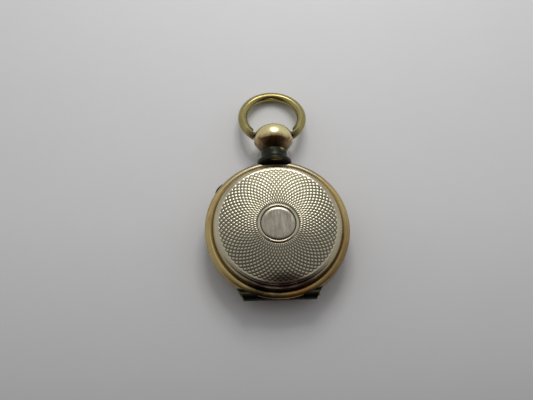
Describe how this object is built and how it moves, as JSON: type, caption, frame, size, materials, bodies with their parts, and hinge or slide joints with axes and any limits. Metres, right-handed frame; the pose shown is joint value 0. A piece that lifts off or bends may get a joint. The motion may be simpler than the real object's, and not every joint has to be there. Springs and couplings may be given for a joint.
{
  "type": "locket",
  "caption": "Round hinged picture locket shaped like a small watch case, with engine-turned covers, gilt rims, a ball pendant and a swinging ring bow.",
  "frame": {"origin": "centre of the back cover's flat disc, on which the closed locket lies", "axes": "+Y from the hinge to the pendant, +Z from the back to the lid, +X completes the set"},
  "size_m": [0.025, 0.0404, 0.0074],
  "materials": {
    "engine_turned_cover": "satin, engine-turned",
    "gilt_rim": "worn satin gilt",
    "gilt_bezel": "satin gilt",
    "gilt_pendant": "polished gilt",
    "gilt_bow": "satin gilt",
    "tarnished_brass": "dark tarnish",
    "liner_brass": "plain brass",
    "picture_card": "matte card",
    "picture_glass": "clear, polished"
  },
  "bodies": {
    "case": {"back_shell": "engine_turned_cover", "back_rim": "gilt_rim", "snap_ring": "gilt_bezel", "back_bezel": "gilt_bezel", "back_glass": "picture_glass", "back_photo": "picture_card", "back_liner": "liner_brass", "hinge_knuckle_left": "tarnished_brass", "hinge_knuckle_middle": "tarnished_brass", "hinge_knuckle_right": "tarnished_brass", "hinge_pin": "liner_brass", "pendant_foot": "tarnished_brass", "pendant_neck": "tarnished_brass", "pendant_ball": "gilt_pendant"},
    "lid": {"lid_shell": "engine_turned_cover", "lid_rim": "gilt_rim", "nail_lip": "tarnished_brass", "lid_knuckle_left": "tarnished_brass", "lid_knuckle_right": "tarnished_brass", "lid_bezel": "gilt_bezel", "lid_glass": "picture_glass", "lid_photo": "picture_card", "lid_liner": "liner_brass"},
    "bow": {"bow": "gilt_bow"}
  },
  "joints": [
    {"name": "lid_hinge", "type": "hinge", "parent": "case", "child": "lid", "pos_m": [0, -0.0115, 0.0037], "axis": [1, 0, 0], "range_deg": [0, 130]},
    {"name": "bow_swing", "type": "hinge", "parent": "case", "child": "bow", "pos_m": [0, 0.0181, 0.0037], "axis": [1, 0, 0], "range_deg": [-136, 148]}
  ]
}
